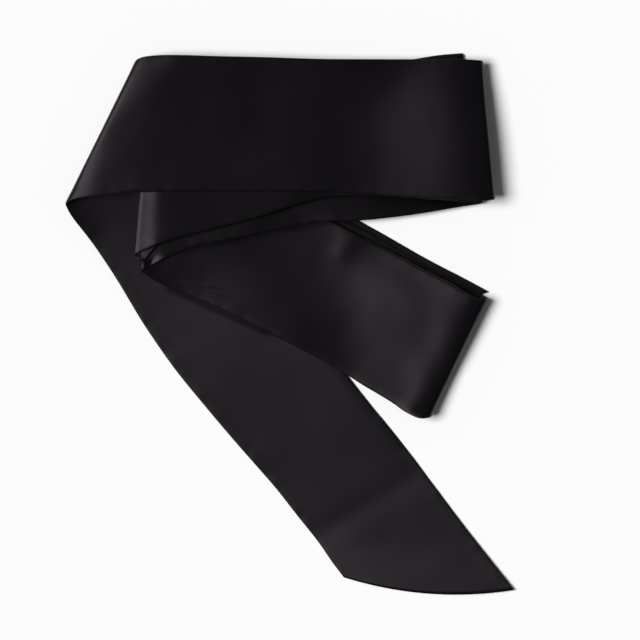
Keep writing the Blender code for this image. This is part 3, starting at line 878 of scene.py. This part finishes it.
def ranged(nodes, links, noise, limits):
    """The middle of a noise's values, spread over the range between these limits."""
    spread = nodes.new("ShaderNodeMapRange")
    for name, limit in zip(("From Min", "From Max", "To Min", "To Max"), (*NOISE_MIDDLE, *limits)):
        spread.inputs[name].default_value = limit
    links.new(noise, spread.inputs["Value"])
    return spread.outputs["Result"]


def combined(nodes, links, operation, first, second):
    """Two varying values, multiplied or added."""
    result = nodes.new("ShaderNodeMath")
    result.operation = operation
    links.new(first, result.inputs[0])
    links.new(second, result.inputs[1])
    return result.outputs["Value"]


def dyed(nodes, links, patches, slubs):
    """The dye's colour, which varies a little over the patches and the slubs."""
    share = combined(
        nodes,
        links,
        "MULTIPLY",
        ranged(nodes, links, slubs, DYE_SLUBS),
        ranged(nodes, links, patches, DYE_PATCHES),
    )
    dye = nodes.new("ShaderNodeMix")
    dye.data_type = "RGBA"
    dye.inputs["A"].default_value = DYE_DEEP
    dye.inputs["B"].default_value = DYE_LIGHT
    links.new(share, dye.inputs["Factor"])
    return dye.outputs["Result"]


def polished(nodes, links, patches, slubs):
    """The satin's roughness, which varies a little over the patches and the slubs."""
    return combined(
        nodes,
        links,
        "ADD",
        ranged(nodes, links, patches, POLISH_PATCHES),
        ranged(nodes, links, slubs, POLISH_SLUBS),
    )


def bumped(nodes, links, noise, height, before):
    """A bump of this height in millimetres, on top of the normal that the bump before it gives, if any."""
    bump = nodes.new("ShaderNodeBump")
    bump.inputs["Strength"].default_value = 1.0
    bump.inputs["Distance"].default_value = height * MILLIMETRE
    links.new(noise, bump.inputs["Height"])
    if before:
        links.new(before, bump.inputs["Normal"])
    return bump.outputs["Normal"]


def across_threads(nodes):
    """The direction across the threads, in which the shader draws out the highlight."""
    tangent = nodes.new("ShaderNodeTangent")
    tangent.direction_type = "UV_MAP"
    tangent.uv_map = FLAT_MAP
    return tangent.outputs["Tangent"]


def satin():
    """Black silk satin: long floating threads along the strip, which spread a highlight across it."""
    material = bpy.data.materials.new("black_satin")
    material.use_nodes = True
    nodes, links = material.node_tree.nodes, material.node_tree.links
    flat = nodes.new("ShaderNodeUVMap")
    flat.uv_map = FLAT_MAP
    floats = cloth_noise(nodes, links, flat.outputs["UV"], FLOATS)
    slubs = cloth_noise(nodes, links, flat.outputs["UV"], SLUBS)
    patches = cloth_noise(nodes, links, flat.outputs["UV"], PATCHES)
    relief = bumped(nodes, links, slubs, SLUB_HEIGHT, None)
    relief = bumped(nodes, links, floats, FLOAT_HEIGHT, relief)
    shader = nodes["Principled BSDF"]
    shader.inputs["Anisotropic"].default_value = ANISOTROPY
    shader.inputs["Specular IOR Level"].default_value = SPECULAR_LEVEL
    shader.inputs["Specular Tint"].default_value = SPECULAR_TINT
    links.new(across_threads(nodes), shader.inputs["Tangent"])
    links.new(dyed(nodes, links, patches, slubs), shader.inputs["Base Color"])
    links.new(polished(nodes, links, patches, slubs), shader.inputs["Roughness"])
    links.new(relief, shader.inputs["Normal"])
    return material


def build_scarf():
    """The pieces of the scarf, cut from the one strip, whose tip runs out to a sharp edge."""
    rows, cuts = whole_strip(lay_the_strip())
    rows = softened(rows, SOFTEN_PASSES)
    layout = flat_layout(rows)
    rows = rows + normals_of(rows) * rippled(layout)[..., None]
    half = half_thickness(rows)
    half[0] = 0.0
    skin = skin_of(rows, half)
    normal = skin_normals(skin)
    material = satin()
    for name, first, last, rests_on, flat_length in PIECES:
        low = cuts[first] if first else 0
        high = cuts[last] if last else len(rows) - 1
        part = slice(low, high + 1)
        piece = add_piece(name + "_cloth", skin[part], normal[part], layout[part], tip=(low == 0))
        piece.data.materials.append(material)
        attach(piece, "root")
        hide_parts(name)


def add_floor():
    """A plain pale floor."""
    bpy.ops.mesh.primitive_plane_add(size=FLOOR_SIZE, location=(0.0, 0.0, 0.0))
    floor = bpy.context.object
    floor.name = "floor"
    material = bpy.data.materials.new("pale_floor")
    material.use_nodes = True
    shader = material.node_tree.nodes["Principled BSDF"]
    shader.inputs["Base Color"].default_value = FLOOR_COLOUR
    shader.inputs["Roughness"].default_value = FLOOR_ROUGHNESS
    shader.inputs["Specular IOR Level"].default_value = FLOOR_SHINE
    floor.data.materials.append(material)


def add_lights():
    """A soft key light from the left, and a dim even room."""
    sun = bpy.data.lights.new("key", "SUN")
    sun.energy = KEY_STRENGTH
    sun.angle = math.radians(KEY_WIDTH)
    lamp = bpy.data.objects.new("key", sun)
    bpy.context.scene.collection.objects.link(lamp)
    slant = math.radians(KEY_SLANT)
    direction = Vector((-math.sin(slant), 0.0, math.cos(slant)))
    lamp.rotation_mode = "QUATERNION"
    lamp.rotation_quaternion = direction.to_track_quat("Z", "Y")
    world = bpy.data.worlds.new("room")
    bpy.context.scene.world = world
    world.use_nodes = True
    background = world.node_tree.nodes["Background"]
    background.inputs["Color"].default_value = (1.0, 1.0, 1.0, 1.0)
    background.inputs["Strength"].default_value = ROOM_STRENGTH


def add_camera():
    """The photograph's camera, straight above the scarf."""
    camera = bpy.data.cameras.new("camera")
    camera.sensor_width = SENSOR_WIDTH
    camera.lens = SENSOR_WIDTH * CAMERA_PLACE[2] / VIEW_WIDTH
    camera.clip_start = VIEW_START
    camera.clip_end = VIEW_END
    eye = bpy.data.objects.new("camera", camera)
    eye.location = CAMERA_PLACE
    bpy.context.scene.collection.objects.link(eye)
    bpy.context.scene.camera = eye


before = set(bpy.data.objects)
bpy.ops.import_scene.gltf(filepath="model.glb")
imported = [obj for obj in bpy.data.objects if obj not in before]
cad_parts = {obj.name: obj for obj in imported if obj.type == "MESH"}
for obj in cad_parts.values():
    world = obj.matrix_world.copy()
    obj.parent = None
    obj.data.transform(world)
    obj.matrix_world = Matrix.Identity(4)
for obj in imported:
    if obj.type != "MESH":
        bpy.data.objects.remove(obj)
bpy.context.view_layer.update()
bpy.context.scene.view_settings.view_transform = "Standard"
build_scarf()
add_floor()
add_lights()
add_camera()
